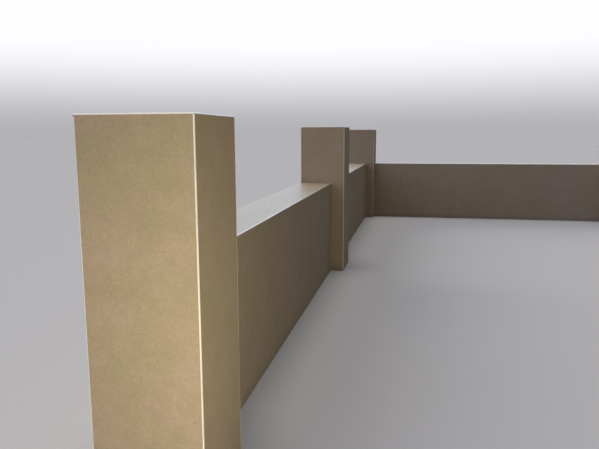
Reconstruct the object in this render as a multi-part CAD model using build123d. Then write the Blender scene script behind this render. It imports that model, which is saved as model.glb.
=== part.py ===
from build123d import *
from math import sqrt
import os

# Rendered boundary wall with square piers: a front run and a return run that meet at a corner pier.
# Millimetres, Z up. The origin is on the ground under the middle of the corner pier. The return run
# goes along +X and the front run along -Y, so the ground that the wall encloses is at +X, -Y.

# Blockwork under the coat
pier_block = 440.0  # side of a pier's square blockwork
wall_block = 300.0  # thickness of a bay's blockwork

# Through-coloured render
coat = 20.0  # thickness on every face and on every top

# Heights and lengths of the finished wall
wall_height = 980.0  # top of the bays above the lowest ground
pier_rise = 608.0  # how far the piers stand above the bays
bay_length = 3900.0  # clear length between two piers
front_bays = 2
return_bays = 2

# Section of the plastic corner bead that every free arris is run to
nose = 5.5  # width of the bead that shows on each face
nose_round = 4.0  # rounding of the arris itself
web_gauge = 2.4  # the diagonal web that stands the nose off the blocks
wing = 45.0  # width of each wing, bedded on the blocks
wing_gauge = 1.8

# How the beads are cut on site
bead_stock = 3000.0  # length that the bead is bought in
butt_gap = 1.0  # open joint where the end of a bead meets another bead or the coat
mitre_gap = 1.0  # open joint between the mitred beads round a pier's top
wing_trim = 3.0  # clearance between the wings of crossing beads
foot_gap = 8.0  # upright beads stop this far above the ground
short_cut = 5.0  # the outer bead of each end pier is cut this much short at its top

# Sizes that follow
pier_width = pier_block + 2 * coat
pier_height = wall_height + pier_rise
pier_block_height = pier_height - coat
wall_block_height = wall_height - coat
wall_width = wall_block + 2 * coat
wall_line = (pier_block - wall_block) / 2  # the bays are flush with the piers' outer faces
bay_pitch = bay_length + pier_width
corner_mirror = Plane(origin=(0, 0, 0), z_dir=(1, 1, 0))


def nose_section(rounding):
    """Solid nose of the bead, with the corner of the blocks at the origin of the section."""
    seat = coat - nose
    outline = Polyline((seat, seat), (coat, seat), (coat, coat), (seat, coat), close=True)
    return eased(make_face(outline), rounding)


def bead_section(rounding):
    """Whole corner bead: two wings on the blocks, a diagonal web and the nose."""
    seat = coat - nose
    half_web = web_gauge / sqrt(2)
    outline = Polyline(
        (-wing, 0),
        (0, 0),
        (0, -wing),
        (wing_gauge, -wing),
        (wing_gauge, wing_gauge - half_web),
        (seat + half_web, seat),
        (coat, seat),
        (coat, coat),
        (seat, coat),
        (seat, seat + half_web),
        (wing_gauge - half_web, wing_gauge),
        (-wing, wing_gauge),
        close=True,
    )
    return eased(make_face(outline), rounding)


def eased(section, rounding):
    """Rounds the outer arris of a bead's section, unless rounding is 0."""
    if rounding == 0:
        return section
    arris = section.vertices().sort_by_distance((coat, coat, 0))[0]
    return fillet(arris, rounding)


def upright_bead(quarter, low, tip, rounding):
    """Bead on one arris of a pier; quarter counts quarter turns from the +X +Y arris."""
    corner = pier_block / 2
    trimmed = pier_block_height - wing - wing_trim
    whole = Pos(corner, corner, low) * extrude(bead_section(rounding), trimmed - low)
    snipped = Pos(corner, corner, trimmed) * extrude(nose_section(rounding), tip - trimmed)
    return Rot(0, 0, 90 * quarter) * (whole + snipped)


def level_bead(start, length, block_top, rounding):
    """Bead along +X from X = start, on the top edge of blocks that end at a pier's +Y block face."""
    section_plane = Plane(origin=(start, pier_block / 2, block_top), x_dir=(0, 1, 0), z_dir=(1, 0, 0))
    return extrude(section_plane * bead_section(rounding), length)


def top_bead(quarter, gap, rounding):
    """Bead along one top edge of a pier, mitred at both ends with half of gap left open."""
    apex = gap / sqrt(2)
    far = pier_width
    sector = make_face(Polyline((0, apex), (far, apex + far), (-far, apex + far), close=True))
    bead = level_bead(-pier_width / 2, pier_width, pier_block_height, rounding)
    return Rot(0, 0, 90 * quarter) * (bead & extrude(sector, pier_height))


def pier_blocks():
    return Pos(0, 0, pier_block_height / 2) * Box(pier_block, pier_block, pier_block_height)


def bay_blocks():
    """Blockwork of a bay on the return run, from the blocks of the corner pier to those of the next."""
    length = bay_length + 2 * coat
    middle = Pos(bay_pitch / 2, wall_line, wall_block_height / 2)
    return middle * Box(length, wall_block, wall_block_height)


def both_edges(bead):
    """A bead on the outer top edge of a bay, and its twin on the inner edge."""
    return [bead, mirror(bead, about=Plane(origin=(0, wall_line, 0), z_dir=(0, 1, 0)))]


def edge_channels():
    """What the beads take out of a bay's coat, from pier to pier."""
    return both_edges(level_bead(pier_width / 2, bay_length, wall_block_height, 0))


def edge_beads():
    """The beads along both top edges of a bay, in bought lengths and a last short one."""
    beads = []
    begin = 0
    while begin < bay_length:
        length = min(bead_stock, bay_length - begin)
        start = pier_width / 2 + begin + butt_gap / 2
        beads += both_edges(level_bead(start, length - butt_gap, wall_block_height, nose_round))
        begin += length
    return beads


def bay_parts():
    """The first bay of the return run. The beads part its coat into two faces and a top."""
    coated = Pos(bay_pitch / 2, wall_line, wall_height / 2) * Box(bay_length, wall_width, wall_height)
    render = coated - bay_blocks()
    for channel in edge_channels():
        render -= channel
    inner, top, outer = render.solids().sort_by(Axis.Y)
    return {
        "blocks": [bay_blocks()],
        "outer_render": [outer],
        "top_render": [top],
        "inner_render": [inner],
        "edge_beads": edge_beads(),
    }


def pier_parts(joining_blocks, flush_quarters, short_quarters=()):
    """The pieces of a pier at the origin.

    joining_blocks is the blockwork of the bays that pass through its coat. On the arrises in
    flush_quarters the coat runs on into a bay, so a bead is needed only above the bay's top. On those
    in short_quarters the bead was cut short. The top beads part the coat into its sides and its top.
    """
    quarters = range(4)
    lows = [wall_height if quarter in flush_quarters else foot_gap for quarter in quarters]
    cuts = [short_cut if quarter in short_quarters else 0 for quarter in quarters]
    tips = [pier_height - nose - cut for cut in cuts]
    render = Pos(0, 0, pier_height / 2) * Box(pier_width, pier_width, pier_height) - pier_blocks()
    for blocks in joining_blocks:
        render -= blocks
    for quarter in quarters:
        render -= upright_bead(quarter, lows[quarter], tips[quarter], 0)
        render -= top_bead(quarter, 0, 0)
    sides, top = render.solids().sort_by(Axis.Z)
    return {
        "blocks": [pier_blocks()],
        "side_render": [sides],
        "top_render": [top],
        "arris_beads": [
            upright_bead(quarter, lows[quarter] + butt_gap, tips[quarter] - butt_gap, nose_round)
            for quarter in quarters
        ],
        "top_beads": [top_bead(quarter, mitre_gap, nose_round) for quarter in quarters],
    }


def along_return(pieces, places):
    """Moves a set of pieces along the return run by a number of bays."""
    step = Pos(places * bay_pitch, 0, 0)
    return {name: [step * solid for solid in solids] for name, solids in pieces.items()}


def to_front(pieces):
    """The same pieces on the front run: the two runs mirror each other across the corner."""
    moved = {}
    for name, solids in pieces.items():
        moved[name] = [mirror(solid, about=corner_mirror) for solid in solids]
    return moved


def return_run(bays):
    """Piers and bays of a return run, beginning with the bay next to the corner pier."""
    next_bay = bay_blocks()
    last_bay = Pos(-bay_pitch, 0, 0) * next_bay
    bay = bay_parts()
    middle_pier = pier_parts([last_bay, next_bay], {0, 1})
    end_pier = pier_parts([last_bay], {1}, short_quarters={0})
    run_bays = [along_return(bay, place) for place in range(bays)]
    run_piers = [along_return(middle_pier, place) for place in range(1, bays)]
    run_piers.append(along_return(end_pier, bays))
    return run_bays, run_piers


def corner_pier():
    return pier_parts([bay_blocks(), mirror(bay_blocks(), about=corner_mirror)], {0, 2})


def whole_wall():
    """Every node, counted from the free end of the front run to that of the return run."""
    front, front_piers = return_run(front_bays)
    back, back_piers = return_run(return_bays)
    bays = [to_front(bay) for bay in reversed(front)] + back
    piers = [to_front(pier) for pier in reversed(front_piers)] + [corner_pier()] + back_piers
    nodes = {}
    for kind, sets in (("pier", piers), ("bay", bays)):
        for number, pieces in enumerate(sets, 1):
            for name, solids in pieces.items():
                nodes[f"{kind}_{number}_{name}"] = solids
    return nodes


os.makedirs("parts", exist_ok=True)
for node, solids in whole_wall().items():
    shape = Compound(children=solids) if len(solids) > 1 else solids[0]
    export_step(shape, f"parts/{node}.step")
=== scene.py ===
"""Finishes a boundary wall: floated coats of render, corner beads, blocks, and a studio."""

import math
from itertools import product

import bmesh
import bpy
import numpy as np
from mathutils import Matrix, Vector, noise


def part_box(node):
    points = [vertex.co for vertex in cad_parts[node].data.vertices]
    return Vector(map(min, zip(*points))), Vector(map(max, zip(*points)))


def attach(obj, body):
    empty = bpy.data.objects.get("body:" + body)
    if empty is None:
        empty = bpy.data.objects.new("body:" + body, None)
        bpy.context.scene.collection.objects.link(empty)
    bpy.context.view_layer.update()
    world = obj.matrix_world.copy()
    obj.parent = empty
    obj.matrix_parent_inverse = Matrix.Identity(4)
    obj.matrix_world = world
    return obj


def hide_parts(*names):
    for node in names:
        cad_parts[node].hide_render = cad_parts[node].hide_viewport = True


bl_info = {
    "name": "Rendered Boundary Wall",
    "version": (1, 0, 0),
    "blender": (4, 5, 0),
    "location": "View3D > Sidebar > Wall",
    "description": "Coats, beads and blocks of a rendered boundary wall, with a studio",
    "category": "Add Mesh",
}

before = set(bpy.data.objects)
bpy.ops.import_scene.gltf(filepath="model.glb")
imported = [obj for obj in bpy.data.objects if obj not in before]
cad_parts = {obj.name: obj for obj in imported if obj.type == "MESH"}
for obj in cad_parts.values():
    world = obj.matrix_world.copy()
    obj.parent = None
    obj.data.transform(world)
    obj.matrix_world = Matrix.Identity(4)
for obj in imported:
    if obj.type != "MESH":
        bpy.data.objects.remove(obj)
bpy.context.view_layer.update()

MM = 0.001
UP = Vector((0, 0, 1))
HAIR = 0.1 * MM  # places nearer than this are taken as one
TINY = 0.001 * MM  # the error of a sum
WELD = 0.01 * MM  # corners of a coat nearer than this are joined

BUTT_JOINT = 2 * MM  # bead ends that lie nearer than this are two beads that meet
END_JOINT = 1 * MM  # open joint between the end of a bead and the coat
MITRE_JOINT = 0.7 * MM  # each of two mitred beads stops this far from the corner
BEAD_REACH = 200 * MM  # a bead further from a coat than this has no say in its face

# Marks of the float in a coat: their length, their share of the depth, and a seed for the noise
FLOAT_MARKS = (
    (340 * MM, 0.32, Vector((0, 0, 0))),
    (120 * MM, 0.16, Vector((7, 3, 5))),
    (45 * MM, 0.08, Vector((1, 9, 4))),
)

BOW_LENGTH = 500 * MM  # a bead is out of line over about this length
BOW_SEED = Vector((4, 2, 8))
RING_SPACING = 60 * MM  # spacing of the rings of a bead's mesh
ARC_STEPS = 5  # steps round the arris of a bead
SHARP_ANGLE = math.radians(35)  # a bead's edges that turn more than this are drawn sharp

# Sockets of a colour Mix node, which share their names with its sockets for numbers
MIX_A, MIX_B, MIX_RESULT = 6, 7, 2


def parts(kind):
    """Names of the piers or of the bays."""
    nodes = [node.removesuffix("_blocks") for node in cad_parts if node.endswith("_blocks")]
    return sorted(node for node in nodes if node.startswith(kind))


PIERS = parts("pier")
BAYS = parts("bay")


def linear(hex_colour):
    """Linear RGBA of an sRGB colour written as #rrggbb."""
    channels = [int(hex_colour[place:place + 2], 16) / 255 for place in (1, 3, 5)]
    return [c / 12.92 if c <= 0.04045 else ((c + 0.055) / 1.055) ** 2.4 for c in channels] + [1.0]


def joined_box(*names):
    """Lowest and highest corners that hold all the named CAD nodes."""
    boxes = [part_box(name) for name in names]
    low = Vector([min(box[0][axis] for box in boxes) for axis in range(3)])
    high = Vector([max(box[1][axis] for box in boxes) for axis in range(3)])
    return low, high


def finished_box(part):
    """Box of a finished pier or bay, with its coat and beads."""
    nodes = [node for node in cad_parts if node.startswith(part + "_")]
    return joined_box(*[node for node in nodes if not node.endswith("_blocks")])


def coat_thickness():
    """The coat stands out this far from a pier's blocks."""
    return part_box(PIERS[0] + "_blocks")[0].x - finished_box(PIERS[0])[0].x


def bead_width():
    """Width of a bead on the face of a pier: what the side coat leaves under the pier's top."""
    return finished_box(PIERS[0])[1].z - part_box(PIERS[0] + "_side_render")[1].z


COAT = coat_thickness()
NOSE = bead_width()


def bead_spans(node, axis, arris):
    """Start and end, along an axis, of each bead of a CAD node on the arris through a point."""
    others = [other for other in range(3) if other != axis]
    places = set()
    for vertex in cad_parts[node].data.vertices:
        if all(abs(vertex.co[other] - arris[other]) < NOSE + HAIR for other in others):
            places.add(round(vertex.co[axis], 4))
    ordered = sorted(places)
    spans = [[ordered[0], ordered[-1]]]
    for before, after in zip(ordered, ordered[1:]):
        if after - before < BUTT_JOINT:
            spans[-1][1] = before
            spans.append([after, ordered[-1]])
    return spans


class CoatSettings(bpy.types.PropertyGroup):
    """Render coats."""

    cell: bpy.props.FloatProperty(
        name="Mesh cell",
        description="Spacing of the mesh that carries the marks of the float",
        default=16 * MM,
        unit="LENGTH",
    )
    hollow: bpy.props.FloatProperty(
        name="Deepest hollow",
        description="How far the float leaves the face of the coat behind the beads",
        default=1.6 * MM,
        unit="LENGTH",
    )
    shy: bpy.props.FloatProperty(
        name="Step at the beads",
        description="How far the coat stops behind the face of a bead beside it",
        default=0.5 * MM,
        unit="LENGTH",
    )
    ease: bpy.props.FloatProperty(
        name="Run-out to the beads",
        description="Distance over which a hollow runs out to the step at a bead",
        default=70 * MM,
        unit="LENGTH",
    )
    colour: bpy.props.FloatVectorProperty(
        name="Dry render",
        description="Colour of the dry coat",
        default=linear("#a8946f"),
        subtype="COLOR",
        size=4,
    )
    wet_colour: bpy.props.FloatVectorProperty(
        name="Wet render",
        description="Colour of the coat on the tops, which hold rain water",
        default=linear("#8e7d63"),
        subtype="COLOR",
        size=4,
    )
    damp_height: bpy.props.FloatProperty(
        name="Splash height",
        description="Height of the damp band above the ground",
        default=110 * MM,
        unit="LENGTH",
    )


class BeadSettings(bpy.types.PropertyGroup):
    """Corner beads."""

    rounding: bpy.props.FloatProperty(
        name="Arris rounding",
        description="Radius of the outer edge of a bead",
        default=4 * MM,
        unit="LENGTH",
    )
    wave: bpy.props.FloatProperty(
        name="Waviness",
        description="How far a bead is out of line between its fixings",
        default=0.4 * MM,
        unit="LENGTH",
    )
    colour: bpy.props.FloatVectorProperty(
        name="Bead",
        description="Colour of the clean plastic",
        default=linear("#ebdec2"),
        subtype="COLOR",
        size=4,
    )


class StageSettings(bpy.types.PropertyGroup):
    """Floor, backdrop, lamps and camera."""

    floor_colour: bpy.props.FloatVectorProperty(
        name="Floor",
        description="Colour of the floor",
        default=linear("#b2afa7"),
        subtype="COLOR",
        size=4,
    )
    floor_bounce: bpy.props.FloatVectorProperty(
        name="Floor bounce",
        description="Colour of the floor to the light that it throws back on the wall",
        default=linear("#61616a"),
        subtype="COLOR",
        size=4,
    )
    eye: bpy.props.FloatVectorProperty(
        name="Camera position",
        description="Where the camera stands",
        default=(1.0292, -11.0309, 1.508),
        subtype="TRANSLATION",
        size=3,
    )
    yaw: bpy.props.FloatProperty(
        name="Camera yaw",
        description="Turn of the camera from +Y towards +X",
        default=math.radians(-11.341),
        subtype="ANGLE",
    )
    pitch: bpy.props.FloatProperty(
        name="Camera pitch",
        description="Tilt of the camera above the horizon",
        default=math.radians(-8.671),
        subtype="ANGLE",
    )
    roll: bpy.props.FloatProperty(
        name="Camera roll",
        description="Lean of the camera about its line of sight",
        default=math.radians(-0.216),
        subtype="ANGLE",
    )
    lens: bpy.props.FloatProperty(
        name="Lens",
        description="Focal length in millimetres on a 36 mm sensor",
        default=35.559,
        unit="CAMERA",
    )


class WallSettings(bpy.types.PropertyGroup):
    """All settings of the wall."""

    coat: bpy.props.PointerProperty(type=CoatSettings)
    bead: bpy.props.PointerProperty(type=BeadSettings)
    stage: bpy.props.PointerProperty(type=StageSettings)


def add_node(tree, kind, inputs=None, **settings):
    """Adds a node, with its settings, and sets or links its inputs, which are named or counted."""
    node = tree.nodes.new(kind)
    for name, value in settings.items():
        setattr(node, name, value)
    for socket, value in (inputs or {}).items():
        if isinstance(value, bpy.types.NodeSocket):
            tree.links.new(value, node.inputs[socket])
        else:
            node.inputs[socket].default_value = value
    return node


def pattern_scale(size_in_mm):
    """Scale of a noise or cell texture, in object coordinates, whose features are this size."""
    return 1000 / size_in_mm


def new_material(name):
    """An empty node material and the Principled shader that ends it."""
    material = bpy.data.materials.new(name)
    material.use_nodes = True
    tree = material.node_tree
    tree.nodes.clear()
    shader = add_node(tree, "ShaderNodeBsdfPrincipled")
    add_node(tree, "ShaderNodeOutputMaterial", {"Surface": shader.outputs[0]})
    return material, tree, shader


def sponge_floated_render(settings):
    """Through-coloured sand and cement render, brought up with a damp sponge float.

    The sponge drags the sand to the face, so the eye sees a dead matt surface with an open sandy
    grain. The coat dries unevenly, in clouds that turn from a greenish buff to a pinkish one, and
    is darker in a band where rain splashes up from the ground.
    """
    material, tree, shader = new_material("sponge_floated_render")
    place = add_node(tree, "ShaderNodeTexCoord").outputs["Object"]
    # Clouds of drying half a metre wide, broken up into patches a hand's breadth wide
    clouds = add_node(
        tree, "ShaderNodeTexNoise",
        {"Vector": place, "Scale": pattern_scale(420), "Detail": 3.0, "Roughness": 0.55},
    ).outputs[0]
    patches = add_node(
        tree, "ShaderNodeTexNoise",
        {"Vector": place, "Scale": pattern_scale(110), "Detail": 3.0, "Roughness": 0.6},
    ).outputs[0]
    both = add_node(tree, "ShaderNodeMath", {0: clouds, 1: patches}, operation="ADD").outputs[0]
    turn = add_node(
        tree, "ShaderNodeMapRange", {"Value": both, "From Min": 0.8, "From Max": 1.2}
    ).outputs[0]
    dry_colour = settings.colour[:3]
    greener = [channel * share for channel, share in zip(dry_colour, (0.955, 0.985, 0.92))]
    pinker = [channel * share for channel, share in zip(dry_colour, (1.045, 1.015, 1.08))]
    cloudy = add_node(
        tree, "ShaderNodeMix", {"Factor": turn, MIX_A: (*greener, 1), MIX_B: (*pinker, 1)},
        data_type="RGBA",
    ).outputs[MIX_RESULT]
    # The marks that the sponge leaves as it turns
    marks = add_node(
        tree, "ShaderNodeTexNoise",
        {"Vector": place, "Scale": pattern_scale(70), "Detail": 3.0, "Roughness": 0.6},
    ).outputs[0]
    tone = add_node(
        tree, "ShaderNodeMapRange",
        {"Value": marks, "From Min": 0.3, "From Max": 0.7, "To Min": 0.96, "To Max": 1.04},
    ).outputs[0]
    # Sand up to 2 mm across is too fine to show at this distance, so the grains are drawn at 7 mm
    grain = add_node(
        tree, "ShaderNodeTexNoise",
        {"Vector": place, "Scale": pattern_scale(7), "Detail": 3.0, "Roughness": 0.75},
    ).outputs[0]
    sandy = add_node(
        tree, "ShaderNodeMapRange",
        {"Value": grain, "From Min": 0.3, "From Max": 0.7, "To Min": 0.88, "To Max": 1.12},
    ).outputs[0]
    # The sponge pulls out a coarse grain here and there; the pit is 3 mm across, and drawn at 8
    # mm. Its dark spot is painted shade in the pit, which has no bump of its own
    pits = add_node(
        tree, "ShaderNodeTexVoronoi",
        {"Vector": place, "Scale": pattern_scale(130), "Randomness": 1.0},
    ).outputs["Distance"]
    painted_pit_shade = add_node(
        tree, "ShaderNodeMapRange",
        {"Value": pits, "From Min": 0.015, "From Max": 0.04, "To Min": 0.6, "To Max": 1.0},
    ).outputs[0]
    # A pale grain of sand shows here and there; it is 2 mm across, and is drawn at 5 mm
    spots = add_node(
        tree, "ShaderNodeTexVoronoi",
        {"Vector": place, "Scale": pattern_scale(36), "Randomness": 1.0},
    ).outputs["Distance"]
    spotted = add_node(
        tree, "ShaderNodeMapRange",
        {"Value": spots, "From Min": 0.04, "From Max": 0.09, "To Min": 1.3, "To Max": 1.0},
    ).outputs[0]
    # The edge of the damp band is ragged: the noise lifts each place by 0 to 120 mm
    height = add_node(tree, "ShaderNodeSeparateXYZ", {0: place}).outputs["Z"]
    ragged = add_node(
        tree, "ShaderNodeTexNoise",
        {"Vector": place, "Scale": pattern_scale(160), "Detail": 4.0, "Roughness": 0.6},
    ).outputs[0]
    lifted = add_node(
        tree, "ShaderNodeMath", {0: ragged, 1: 120 * MM, 2: height}, operation="MULTIPLY_ADD"
    ).outputs[0]
    dry = add_node(
        tree, "ShaderNodeMapRange",
        {"Value": lifted, "From Min": 30 * MM, "From Max": 60 * MM + settings.damp_height},
        interpolation_type="SMOOTHSTEP",
    ).outputs[0]
    damp_tone = add_node(
        tree, "ShaderNodeMapRange", {"Value": dry, "To Min": 0.7, "To Max": 1.0}
    ).outputs[0]
    value = tone
    for share in (sandy, painted_pit_shade, spotted, damp_tone):
        value = add_node(
            tree, "ShaderNodeMath", {0: value, 1: share}, operation="MULTIPLY"
        ).outputs[0]
    colour = add_node(
        tree, "ShaderNodeVectorMath", {0: cloudy, "Scale": value}, operation="SCALE"
    ).outputs[0]
    tree.links.new(colour, shader.inputs["Base Color"])
    roughness = add_node(
        tree, "ShaderNodeMapRange", {"Value": dry, "To Min": 0.62, "To Max": 0.92}
    ).outputs[0]
    tree.links.new(roughness, shader.inputs["Roughness"])
    shader.inputs["Specular IOR Level"].default_value = 0.25
    fine = add_node(
        tree, "ShaderNodeBump", {"Strength": 0.6, "Distance": 1.2 * MM, "Height": grain}
    ).outputs[0]
    broad = add_node(
        tree, "ShaderNodeBump",
        {"Strength": 0.5, "Distance": 1.5 * MM, "Height": marks, "Normal": fine},
    ).outputs[0]
    tree.links.new(broad, shader.inputs["Normal"])
    return material


def rain_wet_render(settings):
    """The same render on a level top, wet from rain.

    A thin film of water fills the pores: the colour goes deeper, and at a low angle the sky lies
    in it as a pale sheen. The film heaps and dips over the floated face, and the tallest grains
    stand dry out of it, so that the sheen is broken up into specks.
    """
    material, tree, shader = new_material("rain_wet_render")
    place = add_node(tree, "ShaderNodeTexCoord").outputs["Object"]
    patches = add_node(
        tree, "ShaderNodeTexNoise",
        {"Vector": place, "Scale": pattern_scale(250), "Detail": 3.0, "Roughness": 0.55},
    ).outputs[0]
    tone = add_node(
        tree, "ShaderNodeMapRange",
        {"Value": patches, "From Min": 0.3, "From Max": 0.7, "To Min": 0.95, "To Max": 1.05},
    ).outputs[0]
    # The raised grains are spaced 2 to 4 mm apart, and are drawn at 10 mm to show at this distance
    raised = add_node(
        tree, "ShaderNodeTexNoise",
        {"Vector": place, "Scale": pattern_scale(10), "Detail": 3.0, "Roughness": 0.8},
    ).outputs[0]
    sandy = add_node(
        tree, "ShaderNodeMapRange",
        {"Value": raised, "From Min": 0.3, "From Max": 0.7, "To Min": 0.75, "To Max": 1.25},
    ).outputs[0]
    value = add_node(
        tree, "ShaderNodeMath", {0: tone, 1: sandy}, operation="MULTIPLY"
    ).outputs[0]
    colour = add_node(
        tree, "ShaderNodeVectorMath", {0: settings.wet_colour[:3], "Scale": value},
        operation="SCALE",
    ).outputs[0]
    tree.links.new(colour, shader.inputs["Base Color"])
    dry = add_node(
        tree, "ShaderNodeMapRange", {"Value": raised, "From Min": 0.5, "From Max": 0.62}
    ).outputs[0]
    roughness = add_node(
        tree, "ShaderNodeMapRange", {"Value": dry, "To Min": 0.35, "To Max": 0.9}
    ).outputs[0]
    tree.links.new(roughness, shader.inputs["Roughness"])
    film = add_node(
        tree, "ShaderNodeMapRange", {"Value": dry, "To Min": 1.0, "To Max": 0.2}
    ).outputs[0]
    tree.links.new(film, shader.inputs["Coat Weight"])
    shader.inputs["Coat Roughness"].default_value = 0.42
    shader.inputs["Coat IOR"].default_value = 1.33
    # The sand of the face, up to 2 mm across and drawn at 6 mm
    grain = add_node(
        tree, "ShaderNodeTexNoise",
        {"Vector": place, "Scale": pattern_scale(6), "Detail": 2.0, "Roughness": 0.7},
    ).outputs[0]
    fine = add_node(
        tree, "ShaderNodeBump", {"Strength": 0.6, "Distance": 0.6 * MM, "Height": grain}
    ).outputs[0]
    tree.links.new(fine, shader.inputs["Normal"])
    # The dips between the marks of the sponge, in which the film lies deeper
    dips = add_node(
        tree, "ShaderNodeTexNoise",
        {"Vector": place, "Scale": pattern_scale(26), "Detail": 3.0, "Roughness": 0.75},
    ).outputs[0]
    surface = add_node(
        tree, "ShaderNodeBump", {"Strength": 1.0, "Distance": 7 * MM, "Height": dips}
    ).outputs[0]
    tree.links.new(surface, shader.inputs["Coat Normal"])
    return material


def extruded_upvc(settings):
    """White uPVC, extruded as a corner bead and wiped down after rendering.

    It is smooth, and a film of rain lies on it, so that its rounded nose draws a bright line along
    every arris. A thin haze of render stays on it in places.
    """
    material, tree, shader = new_material("extruded_upvc")
    place = add_node(tree, "ShaderNodeTexCoord").outputs["Object"]
    haze = add_node(
        tree, "ShaderNodeTexNoise",
        {"Vector": place, "Scale": pattern_scale(90), "Detail": 4.0, "Roughness": 0.7},
    ).outputs[0]
    amount = add_node(
        tree, "ShaderNodeMapRange",
        {"Value": haze, "From Min": 0.5, "From Max": 0.8, "To Max": 0.5},
    ).outputs[0]
    colour = add_node(
        tree, "ShaderNodeMix",
        {"Factor": amount, MIX_A: settings.colour, MIX_B: linear("#b7a37c")},
        data_type="RGBA",
    ).outputs[MIX_RESULT]
    tree.links.new(colour, shader.inputs["Base Color"])
    roughness = add_node(
        tree, "ShaderNodeMapRange",
        {"Value": amount, "From Max": 0.5, "To Min": 0.25, "To Max": 0.6},
    ).outputs[0]
    tree.links.new(roughness, shader.inputs["Roughness"])
    shader.inputs["Coat Weight"].default_value = 1.0
    shader.inputs["Coat Roughness"].default_value = 0.2
    shader.inputs["Coat IOR"].default_value = 1.33
    return material


def dense_concrete_block():
    """Dense concrete blocks, pressed from a dry mix, and laid in courses with 10 mm mortar joints.

    The pressed mix gives an open gritty face of pale grey. The blocks differ a little in tone, and
    the mortar between them is sandy and lies 3 mm back.
    """
    material, tree, shader = new_material("dense_concrete_block")
    place = add_node(tree, "ShaderNodeTexCoord").outputs["Object"]
    # Every upright face lies along X or along Y, so the sum of the two runs along it
    axes = add_node(tree, "ShaderNodeSeparateXYZ", {0: place}).outputs
    along = add_node(
        tree, "ShaderNodeMath", {0: axes["X"], 1: axes["Y"]}, operation="ADD"
    ).outputs[0]
    face = add_node(tree, "ShaderNodeCombineXYZ", {"X": along, "Y": axes["Z"]}).outputs[0]
    # The texture takes half the width of a joint as the size of the mortar
    bond = add_node(
        tree, "ShaderNodeTexBrick",
        {
            "Vector": face, "Scale": 1.0,
            "Brick Width": 450 * MM, "Row Height": 225 * MM, "Mortar Size": 5 * MM,
            "Color1": linear("#8d8a82"), "Color2": linear("#9c988e"),
            "Mortar": linear("#a89a80"),
        },
    ).outputs
    # Crushed stone of up to 6 mm
    grit = add_node(
        tree, "ShaderNodeTexNoise",
        {"Vector": place, "Scale": pattern_scale(6), "Detail": 4.0, "Roughness": 0.7},
    ).outputs[0]
    shade = add_node(
        tree, "ShaderNodeMapRange",
        {"Value": grit, "From Min": 0.3, "From Max": 0.7, "To Min": 0.85, "To Max": 1.15},
    ).outputs[0]
    colour = add_node(
        tree, "ShaderNodeVectorMath", {0: bond["Color"], "Scale": shade}, operation="SCALE"
    ).outputs[0]
    tree.links.new(colour, shader.inputs["Base Color"])
    shader.inputs["Roughness"].default_value = 0.95
    joints = add_node(
        tree, "ShaderNodeBump", {"Strength": 1.0, "Distance": 3 * MM, "Height": bond["Fac"]},
        invert=True,
    ).outputs[0]
    gritty = add_node(
        tree, "ShaderNodeBump",
        {"Strength": 0.8, "Distance": 1 * MM, "Height": grit, "Normal": joints},
    ).outputs[0]
    tree.links.new(gritty, shader.inputs["Normal"])
    return material


def shared_material(maker, *arguments):
    """The material that a function makes, made once."""
    return bpy.data.materials.get(maker.__name__) or maker(*arguments)


def grid_lines(low, high, cell, keys):
    """Places of a grid's lines from low to high: all the keys, and others at most a cell apart."""
    inside = [key for key in (low, high, *keys) if low - TINY <= key <= high + TINY]
    stops = sorted({round(key, 6) for key in inside})
    lines = [stops[0]]
    for start, end in zip(stops, stops[1:]):
        count = max(1, math.ceil((end - start) / cell - TINY))
        lines += [start + (end - start) * step / count for step in range(1, count + 1)]
    return np.array(lines)


def hollows(points, beads, settings):
    """How far each point of a coat's face lies behind the face of the beads."""
    depths = np.empty(len(points))
    for index, point in enumerate(points):
        place = Vector(point)
        marks = [share * noise.noise(place / length + seed) for length, share, seed in FLOAT_MARKS]
        depths[index] = 0.5 + sum(marks)
    distance = np.full(len(points), np.inf)
    for start, end in beads:
        start = np.array(start)
        along = np.array(end) - start
        share = np.clip((points - start) @ along / (along @ along), 0, 1)
        nearest = start + share[:, None] * along
        distance = np.minimum(distance, np.linalg.norm(points - nearest, axis=1))
    run = np.clip((distance - NOSE) / settings.ease, 0, 1)
    run = run * run * (3 - 2 * run)
    return settings.shy + run * np.clip(depths, 0, 1) * (settings.hollow - settings.shy)


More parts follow.
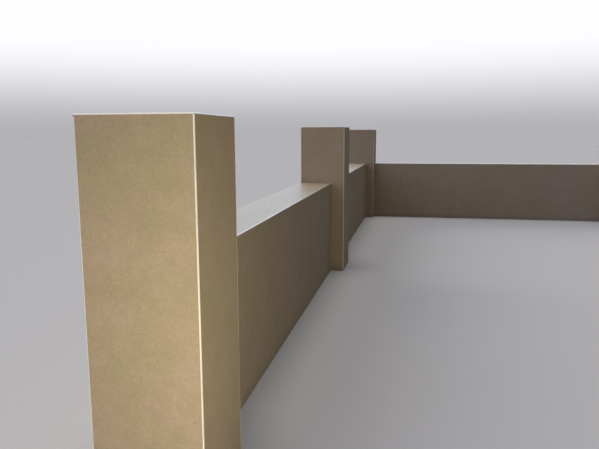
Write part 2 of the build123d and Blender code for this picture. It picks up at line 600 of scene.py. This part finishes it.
class Panel:
    """One flat face of coat, from arris to arris, less what its neighbours and beads take out.

    Places on it are measured along `across` and `upward` from `corner`, in metres.
    """

    def __init__(self, corner, across, upward, width, height):
        self.corner = Vector(corner)
        self.across = Vector(across)
        self.upward = Vector(upward)
        self.width = width
        self.height = height
        self.gaps = []
        self.mitred = []

    def outward(self):
        """Direction in which the face looks."""
        return self.across.cross(self.upward)

    def local(self, point):
        """Place of a point on the panel, and its depth behind the face."""
        offset = Vector(point) - self.corner
        return offset.dot(self.across), offset.dot(self.upward), -offset.dot(self.outward())

    def faces(self, box):
        """Whether the panel looks towards the middle of a box."""
        return self.local((box[0] + box[1]) / 2)[2] < 0

    def lengthen(self, reach):
        """Runs both ends on into the coats of the piers, so that no gap shows in the corner."""
        self.corner -= reach * self.across
        self.width += 2 * reach
        self.gaps = [(0, self.width, v_low, v_high) for _, _, v_low, v_high in self.gaps]

    def cut(self, u_low, u_high, v_low, v_high):
        """Leaves a rectangle out of the coat."""
        self.gaps.append((u_low, u_high, v_low, v_high))

    def cut_blocks(self, box):
        """Leaves out what the blocks of a bay pass through."""
        us, vs, depths = zip(*[self.local(corner) for corner in product(*zip(*box))])
        if min(depths) < COAT / 2 < max(depths):
            self.cut(min(us), max(us), min(vs), max(vs))

    def mitre(self, side, above=-math.inf):
        """Mitres the coat at its left, right, bottom or top arris, from a height on it upwards."""
        self.mitred.append((side, above))

    def behind(self, u, v, depth):
        """Place of the skirt behind a boundary point; at a mitre it draws in by its depth."""
        for side, above in self.mitred:
            if side == "left" and v > above:
                u = max(u, depth)
            elif side == "right" and v > above:
                u = min(u, self.width - depth)
            elif side == "bottom":
                v = max(v, depth)
            elif side == "top":
                v = min(v, self.height - depth)
        return self.corner + u * self.across + v * self.upward - depth * self.outward()

    def add_to(self, bm, beads, settings):
        """Builds the coat as a closed slab with a finely meshed face."""
        keys_u = [edge for gap in self.gaps for edge in gap[:2]]
        keys_v = [edge for gap in self.gaps for edge in gap[2:]]
        us = grid_lines(0, self.width, settings.cell, keys_u)
        vs = grid_lines(0, self.height, settings.cell, keys_v)
        u_mid = (us[1:] + us[:-1]) / 2
        v_mid = (vs[1:] + vs[:-1]) / 2
        kept = np.ones((len(v_mid), len(u_mid)), bool)
        for u_low, u_high, v_low, v_high in self.gaps:
            inside_u = (u_mid > u_low) & (u_mid < u_high)
            inside_v = (v_mid > v_low) & (v_mid < v_high)
            kept[np.ix_(inside_v, inside_u)] = False
        grid_u, grid_v = np.meshgrid(us, vs)
        flat = np.array(self.corner) + grid_u[..., None] * np.array(self.across)
        flat = flat + grid_v[..., None] * np.array(self.upward)
        used = np.zeros(grid_u.shape, bool)
        for dv in (0, 1):
            for du in (0, 1):
                used[dv:len(v_mid) + dv, du:len(u_mid) + du] |= kept
        depths = np.zeros(grid_u.shape)
        depths[used] = hollows(flat[used], beads, settings)
        out = np.array(self.outward())
        front = {}
        for row, column in zip(*np.nonzero(used)):
            front[row, column] = bm.verts.new(flat[row, column] - out * depths[row, column])
        for row, column in zip(*np.nonzero(kept)):
            ring = ((row, column), (row, column + 1), (row + 1, column + 1), (row + 1, column))
            bm.faces.new([front[place] for place in ring]).smooth = True
        self.close(bm, front, kept, us, vs)

    def close(self, bm, front, kept, us, vs):
        """Adds the skirt and the back behind the meshed face."""
        rows, columns = kept.shape
        edges = []
        for row, column in zip(*np.nonzero(kept)):
            if row == 0 or not kept[row - 1, column]:
                edges.append(((row, column), (row, column + 1)))
            if row == rows - 1 or not kept[row + 1, column]:
                edges.append(((row + 1, column + 1), (row + 1, column)))
            if column == 0 or not kept[row, column - 1]:
                edges.append(((row + 1, column), (row, column)))
            if column == columns - 1 or not kept[row, column + 1]:
                edges.append(((row, column + 1), (row + 1, column + 1)))
        rims = []
        for depth in (NOSE, COAT):
            rim = {}
            for start, _ in edges:
                if start not in rim:
                    place = self.behind(float(us[start[1]]), float(vs[start[0]]), depth)
                    rim[start] = bm.verts.new(place)
            rims.append(rim)
        for outer, inner in zip([front, *rims], rims):
            for start, end in edges:
                bm.faces.new([outer[end], outer[start], inner[start], inner[end]])
        for start, end in edges:
            bm.edges.get([front[start], front[end]]).smooth = False
        rim_vertices = [vertex for rim in rims for vertex in rim.values()]
        bmesh.ops.remove_doubles(bm, verts=rim_vertices, dist=WELD)
        open_edges = [edge for edge in bm.edges if len(edge.link_faces) == 1]
        bmesh.ops.triangle_fill(bm, use_beauty=True, edges=open_edges, normal=-self.outward())


def finish_piece(name, bm, material, slot, *nodes):
    """Makes a mesh object of a bmesh, in place of CAD nodes."""
    mesh = bpy.data.meshes.new(name)
    bm.to_mesh(mesh)
    bm.free()
    mesh.materials.append(material)
    piece = bpy.data.objects.new(name, mesh)
    bpy.context.collection.objects.link(piece)
    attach(piece, "root")
    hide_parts(*nodes)


def finish_coat(name, panels, beads, maker, settings, node):
    """Builds the coat of one or more panels as a piece, in place of a CAD node."""
    coat = bmesh.new()
    for panel in panels:
        panel.add_to(coat, beads, settings)
    finish_piece(name, coat, shared_material(maker, settings), "render", node)


def pier_corners(box):
    """The four arrises of a pier, anticlockwise from the one at -X, -Y."""
    low, high = box
    places = ((low.x, low.y), (high.x, low.y), (high.x, high.y), (low.x, high.y))
    return [Vector((x, y, 0)) for x, y in places]


def run_axis(box):
    """The axis that a bay runs along: 0 for X, 1 for Y."""
    size = box[1] - box[0]
    return 0 if size.x > size.y else 1


def top_edges(box):
    """The two long top edges of a bay, at its low side and at its high side."""
    low, high = box
    axis = run_axis(box)
    edges = []
    for side in (low, high):
        start, end = Vector((side.x, side.y, high.z)), Vector((side.x, side.y, high.z))
        start[axis], end[axis] = low[axis], high[axis]
        edges.append((start, end))
    return edges


def bears_on(line, box):
    """Whether a bead on a line is near enough to a box for its coat to be run out to it."""
    return all(
        min(ends) < high + BEAD_REACH and max(ends) > low - BEAD_REACH
        for ends, low, high in zip(zip(*line), *box)
    )


def beads_near(box):
    """Lines of the beads that meet a box, which the float follows."""
    lines = []
    for pier in PIERS:
        low, high = finished_box(pier)
        corners = pier_corners((low, high))
        tops = [corner + UP * high.z for corner in corners]
        lines += list(zip(tops, tops[1:] + tops[:1]))
        for corner in corners:
            for start, end in bead_spans(pier + "_arris_beads", 2, corner):
                lines.append((corner + UP * start, corner + UP * end))
    for bay in BAYS:
        lines += top_edges(finished_box(bay))
    return [line for line in lines if bears_on(line, box)]


def end_strip(side, width, breadth):
    """Where a strip along the left or the right arris of a panel begins and ends."""
    return (0, breadth) if side == "left" else (width - breadth, width)


def pier_sides(pier):
    """The four side panels of a pier."""
    box = finished_box(pier)
    corners = pier_corners(box)
    width = box[1].x - box[0].x
    height = box[1].z
    panels = []
    for index, corner in enumerate(corners):
        next_corner = corners[(index + 1) % 4]
        across = (next_corner - corner).normalized()
        panel = Panel(corner, across, UP, width, height)
        panel.cut(0, width, height - NOSE, height)
        panel.mitre("top")
        for side, arris in (("left", corner), ("right", next_corner)):
            low, high = bead_spans(pier + "_arris_beads", 2, arris)[0]
            panel.cut(*end_strip(side, width, NOSE), low - END_JOINT, high + END_JOINT)
            # Below the bead of such an arris the coat runs on into the coat of a bay
            joined = [finished_box(bay) for bay in BAYS if holds(finished_box(bay), arris)]
            panel.mitre(side, above=low if joined else -math.inf)
            if any(panel.faces(bay_box) for bay_box in joined):
                panel.cut(*end_strip(side, width, COAT), 0, low - END_JOINT)
        for bay in BAYS:
            panel.cut_blocks(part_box(bay + "_blocks"))
        panels.append(panel)
    return panels


def holds(box, point):
    """Whether a point on the ground is in or on a box."""
    return all(box[0][axis] - HAIR < point[axis] < box[1][axis] + HAIR for axis in (0, 1))


def top_panel(box, axis):
    """The level top of the box of a pier, or of a bay that runs along an axis."""
    low, high = box
    sizes = high - low
    if axis == 1:
        panel = Panel((high.x, low.y, high.z), (0, 1, 0), (-1, 0, 0), sizes.y, sizes.x)
    else:
        panel = Panel((low.x, low.y, high.z), (1, 0, 0), (0, 1, 0), sizes.x, sizes.y)
    panel.cut(0, panel.width, 0, NOSE)
    panel.cut(0, panel.width, panel.height - NOSE, panel.height)
    panel.mitre("bottom")
    panel.mitre("top")
    return panel


class WALL_OT_float_piers(bpy.types.Operator):
    """Float the coats of the piers"""

    bl_idname = "wall.float_piers"
    bl_label = "Float Pier Coats"

    def execute(self, context):
        settings = context.scene.wall.coat
        for pier in PIERS:
            box = finished_box(pier)
            beads = beads_near(box)
            finish_coat(
                pier + "_side_coat", pier_sides(pier), beads,
                sponge_floated_render, settings, pier + "_side_render",
            )
            top = top_panel(box, 0)
            for side in ("left", "right"):
                top.cut(*end_strip(side, top.width, NOSE), 0, top.height)
                top.mitre(side)
            finish_coat(
                pier + "_top_coat", [top], beads,
                rain_wet_render, settings, pier + "_top_render",
            )
        return {"FINISHED"}


class WALL_OT_float_bays(bpy.types.Operator):
    """Float the coats of the bays"""

    bl_idname = "wall.float_bays"
    bl_label = "Float Bay Coats"

    def execute(self, context):
        settings = context.scene.wall.coat
        for bay in BAYS:
            box = finished_box(bay)
            low, high = box
            beads = beads_near(box)
            axis = run_axis(box)
            length = high[axis] - low[axis]
            if axis == 0:
                faces = {
                    "outer": Panel((high.x, high.y, 0), (-1, 0, 0), UP, length, high.z),
                    "inner": Panel((low.x, low.y, 0), (1, 0, 0), UP, length, high.z),
                }
            else:
                faces = {
                    "outer": Panel((low.x, high.y, 0), (0, -1, 0), UP, length, high.z),
                    "inner": Panel((high.x, low.y, 0), (0, 1, 0), UP, length, high.z),
                }
            faces["inner"].lengthen(settings.hollow)
            for side, panel in faces.items():
                panel.cut(0, panel.width, high.z - NOSE, high.z)
                panel.mitre("top")
                finish_coat(
                    f"{bay}_{side}_coat", [panel], beads,
                    sponge_floated_render, settings, f"{bay}_{side}_render",
                )
            top = top_panel(box, axis)
            top.lengthen(settings.hollow)
            finish_coat(
                bay + "_top_coat", [top], beads,
                rain_wet_render, settings, bay + "_top_render",
            )
        return {"FINISHED"}


def add_bead(bm, start, end, first, second, mitred, settings):
    """Adds the nose of a bead along an arris, from start to end.

    first and second point from the arris into its two faces. Where the bead is mitred, its two
    ends draw in by the distance from the arris along first.
    """
    radius = settings.rounding
    section = [(NOSE, NOSE), (NOSE, 0.0)]
    for step in range(ARC_STEPS + 1):
        angle = math.pi / 2 * step / ARC_STEPS
        section.append((radius * (1 - math.sin(angle)), radius * (1 - math.cos(angle))))
    section.append((0.0, NOSE))
    along = end - start
    length = along.length
    direction = along.normalized()
    count = max(2, round(length / RING_SPACING))
    rings = []
    for step in range(count + 1):
        share = step / count
        wander = noise.noise((start + along * share) / BOW_LENGTH + BOW_SEED)
        inward = (first + second) * settings.wave * (0.5 + 0.5 * wander)
        ring = []
        for a, b in section:
            travel = length * share
            if mitred and step == 0:
                travel += a
            elif mitred and step == count:
                travel -= a
            ring.append(bm.verts.new(start + direction * travel + first * a + second * b + inward))
        rings.append(ring)
    faces = [bm.faces.new(rings[0]), bm.faces.new(rings[-1][::-1])]
    for before, after in zip(rings, rings[1:]):
        for index in range(len(section)):
            other = (index + 1) % len(section)
            ring = [before[other], before[index], after[index], after[other]]
            faces.append(bm.faces.new(ring))
    bmesh.ops.recalc_face_normals(bm, faces=faces)
    for face in faces:
        face.smooth = True
    for edge in {edge for face in faces for edge in face.edges}:
        if edge.calc_face_angle(0) > SHARP_ANGLE:
            edge.smooth = False


class WALL_OT_set_beads(bpy.types.Operator):
    """Set the corner beads"""

    bl_idname = "wall.set_beads"
    bl_label = "Set Corner Beads"

    def execute(self, context):
        settings = context.scene.wall.bead
        plastic = shared_material(extruded_upvc, settings)
        for pier in PIERS:
            box = finished_box(pier)
            corners = pier_corners(box)
            rise = UP * box[1].z
            uprights = bmesh.new()
            tops = bmesh.new()
            for index, corner in enumerate(corners):
                next_corner = corners[(index + 1) % 4]
                after = (next_corner - corner).normalized()
                before = (corners[index - 1] - corner).normalized()
                for low, high in bead_spans(pier + "_arris_beads", 2, corner):
                    start, end = corner + UP * low, corner + UP * high
                    add_bead(uprights, start, end, after, before, False, settings)
                joint = after * MITRE_JOINT
                start, end = corner + rise + joint, next_corner + rise - joint
                add_bead(tops, start, end, before, -UP, True, settings)
            arris_beads, top_beads = pier + "_arris_beads", pier + "_top_beads"
            finish_piece(pier + "_arris_trim", uprights, plastic, "corner_bead", arris_beads)
            finish_piece(pier + "_top_trim", tops, plastic, "corner_bead", top_beads)
        for bay in BAYS:
            box = finished_box(bay)
            axis = run_axis(box)
            inward = Vector((0, 0, 0))
            inward[1 - axis] = 1
            edges = bmesh.new()
            for (start, end), into in zip(top_edges(box), (inward, -inward)):
                for low, high in bead_spans(bay + "_edge_beads", axis, start):
                    start[axis], end[axis] = low, high
                    add_bead(edges, start, end, into, -UP, False, settings)
            finish_piece(bay + "_edge_trim", edges, plastic, "corner_bead", bay + "_edge_beads")
        return {"FINISHED"}


class WALL_OT_lay_blocks(bpy.types.Operator):
    """Give the blockwork its finish"""

    bl_idname = "wall.lay_blocks"
    bl_label = "Lay Blocks"

    def execute(self, context):
        concrete = shared_material(dense_concrete_block)
        for part in PIERS + BAYS:
            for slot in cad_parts[part + "_blocks"].material_slots:
                slot.material = concrete
        return {"FINISHED"}


def rays_that_show(tree):
    """1 for rays that show the studio to the camera, straight or in a gloss, 0 for the others."""
    path = add_node(tree, "ShaderNodeLightPath")
    seen = path.outputs["Is Camera Ray"]
    for ray in ("Is Glossy Ray", "Is Transmission Ray"):
        seen = add_node(
            tree, "ShaderNodeMath", {0: seen, 1: path.outputs[ray]}, operation="MAXIMUM"
        ).outputs[0]
    return seen


def studio_floor(settings):
    """Matt painted floor, plain and pale, that keeps the wall's shadow."""
    material = bpy.data.materials.new("studio_floor")
    material.use_nodes = True
    tree = material.node_tree
    tree.nodes.clear()
    seen = rays_that_show(tree)
    colour = add_node(
        tree, "ShaderNodeMix",
        {"Factor": seen, MIX_A: settings.floor_bounce, MIX_B: settings.floor_colour},
        data_type="RGBA",
    ).outputs[MIX_RESULT]
    matt = add_node(tree, "ShaderNodeBsdfDiffuse", {"Color": colour})
    add_node(tree, "ShaderNodeOutputMaterial", {"Surface": matt.outputs[0]})
    return material


def studio_world():
    """Soft light from all round, and a pale backdrop that the camera and wet surfaces see."""
    light_tint = (0.83, 0.91, 1.9, 1)
    sheen_tint = (0.9, 1.06, 1.3, 1)
    backdrop_tint = (0.99, 0.985, 1.03, 1)
    world = bpy.data.worlds.new("studio_world")
    world.use_nodes = True
    tree = world.node_tree
    tree.nodes.clear()
    direction = add_node(tree, "ShaderNodeTexCoord").outputs["Generated"]
    # The backdrop climbs from light grey at the horizon to white
    height = add_node(tree, "ShaderNodeSeparateXYZ", {0: direction}).outputs["Z"]
    backdrop = add_node(
        tree, "ShaderNodeMapRange",
        {"Value": height, "From Min": 0.0, "From Max": 0.15, "To Min": 0.45, "To Max": 1.0},
        interpolation_type="SMOOTHSTEP",
    ).outputs[0]
    # A little more of the light comes from the road side than from the side of the drive
    side = add_node(
        tree, "ShaderNodeVectorMath", {0: direction, 1: (-0.06, 0.0, 0.0)},
        operation="DOT_PRODUCT",
    ).outputs["Value"]
    light = add_node(
        tree, "ShaderNodeMath", {0: side, 1: 0.118}, operation="ADD", use_clamp=True
    ).outputs[0]
    seen = rays_that_show(tree)
    level = add_node(
        tree, "ShaderNodeMix", {"Factor": seen, "A": light, "B": backdrop}, data_type="FLOAT"
    ).outputs[0]
    tint = add_node(
        tree, "ShaderNodeMix", {"Factor": seen, MIX_A: light_tint, MIX_B: sheen_tint},
        data_type="RGBA",
    ).outputs[MIX_RESULT]
    direct = add_node(tree, "ShaderNodeLightPath").outputs["Is Camera Ray"]
    tint = add_node(
        tree, "ShaderNodeMix", {"Factor": direct, MIX_A: tint, MIX_B: backdrop_tint},
        data_type="RGBA",
    ).outputs[MIX_RESULT]
    glow = add_node(tree, "ShaderNodeBackground", {"Color": tint, "Strength": level})
    add_node(tree, "ShaderNodeOutputWorld", {"Surface": glow.outputs[0]})
    return world


def add_softbox(name, place, target, size, power, colour):
    """A square area lamp that points at a target."""
    lamp = bpy.data.lights.new(name, "AREA")
    lamp.shape = "SQUARE"
    lamp.size = size
    lamp.energy = power
    lamp.color = colour
    softbox = bpy.data.objects.new(name, lamp)
    bpy.context.collection.objects.link(softbox)
    softbox.location = place
    softbox.rotation_euler = (Vector(target) - Vector(place)).to_track_quat("-Z", "Y").to_euler()
    softbox.visible_camera = False
    softbox.visible_glossy = False
    return softbox


def add_sun(name, direction, strength, softness, colour=(1, 1, 1)):
    """A distant lamp that shines in a direction, as wide as its softness."""
    lamp = bpy.data.lights.new(name, "SUN")
    lamp.energy = strength
    lamp.angle = softness
    lamp.color = colour
    sun = bpy.data.objects.new(name, lamp)
    bpy.context.collection.objects.link(sun)
    sun.rotation_euler = Vector(direction).to_track_quat("-Z", "Y").to_euler()
    sun.visible_glossy = False


class WALL_OT_set_stage(bpy.types.Operator):
    """Set up the floor, the lamps and the camera"""

    bl_idname = "wall.set_stage"
    bl_label = "Set Stage"

    def execute(self, context):
        settings = context.scene.wall.stage
        context.scene.view_settings.view_transform = "Standard"
        reach = 400.0  # so far that the edge of the floor lies on the horizon
        mesh = bpy.data.meshes.new("floor")
        square = [(-reach, -reach, 0), (reach, -reach, 0), (reach, reach, 0), (-reach, reach, 0)]
        mesh.from_pydata(square, [], [(0, 1, 2, 3)])
        mesh.materials.append(shared_material(studio_floor, settings))
        floor = bpy.data.objects.new("floor", mesh)
        context.collection.objects.link(floor)
        context.scene.world = studio_world()
        # The key light stands low beside the camera and falls on the near end of the wall
        beside_camera = (settings.eye[0] + 0.38, settings.eye[1] - 0.1, 0.8)
        key = add_softbox(
            "key", place=beside_camera, target=(0.1, -8.5, 0.7), size=0.7, power=16.6,
            colour=(1.04, 0.99, 0.9),
        )
        key.data.spread = math.radians(90)
        self.keep_off(key, floor)
        add_sun(
            "front_fill", direction=(0.8, 1.0, -0.42), strength=0.67,
            softness=math.radians(60), colour=(0.88, 0.985, 1.64),
        )
        add_sun(
            "road_fill", direction=(1.0, -1.0, -0.52), strength=3.2, softness=math.radians(50)
        )
        add_sun("overhead", direction=(0, 0, -1), strength=1.6, softness=math.radians(35))
        self.add_camera(context, settings)
        return {"FINISHED"}

    def keep_off(self, lamp, piece):
        """Keeps the light of a lamp off a piece, so that no bright pool lies before the lamp."""
        unlit = bpy.data.collections.new(f"without_{lamp.name}")
        unlit.objects.link(piece)
        unlit.collection_objects[0].light_linking.link_state = "EXCLUDE"
        lamp.light_linking.receiver_collection = unlit

    def add_camera(self, context, settings):
        """Puts the camera where the settings say."""
        yaw, pitch, roll = settings.yaw, settings.pitch, settings.roll
        level_right = Vector((math.cos(yaw), -math.sin(yaw), 0))
        level_ahead = Vector((math.sin(yaw), math.cos(yaw), 0))
        ahead = level_ahead * math.cos(pitch) + UP * math.sin(pitch)
        level_up = level_right.cross(ahead)
        right = level_right * math.cos(roll) + level_up * math.sin(roll)
        turn = Matrix((right, right.cross(ahead), -ahead)).transposed()
        camera = bpy.data.objects.new("camera", bpy.data.cameras.new("camera"))
        context.collection.objects.link(camera)
        camera.data.sensor_width = 36
        camera.data.lens = settings.lens
        camera.matrix_world = Matrix.Translation(settings.eye) @ turn.to_4x4()
        context.scene.camera = camera


class WALL_PT_tools(bpy.types.Panel):
    """Buttons for the pieces of the wall"""

    bl_label = "Boundary Wall"
    bl_idname = "WALL_PT_tools"
    bl_space_type = "VIEW_3D"
    bl_region_type = "UI"
    bl_category = "Wall"

    def draw(self, context):
        wall = context.scene.wall
        for group in (wall.coat, wall.bead, wall.stage):
            column = self.layout.column()
            for name in group.__annotations__:
                column.prop(group, name)
        for operator in STEPS:
            self.layout.operator(operator.bl_idname)


STEPS = (
    WALL_OT_lay_blocks,
    WALL_OT_float_piers,
    WALL_OT_float_bays,
    WALL_OT_set_beads,
    WALL_OT_set_stage,
)
CLASSES = (CoatSettings, BeadSettings, StageSettings, WallSettings, *STEPS, WALL_PT_tools)


def register():
    for cls in CLASSES:
        bpy.utils.register_class(cls)
    bpy.types.Scene.wall = bpy.props.PointerProperty(type=WallSettings)


def unregister():
    del bpy.types.Scene.wall
    for cls in reversed(CLASSES):
        bpy.utils.unregister_class(cls)


def main():
    register()
    bpy.ops.wall.lay_blocks()
    bpy.ops.wall.float_piers()
    bpy.ops.wall.float_bays()
    bpy.ops.wall.set_beads()
    bpy.ops.wall.set_stage()


if __name__ == "__main__":
    main()
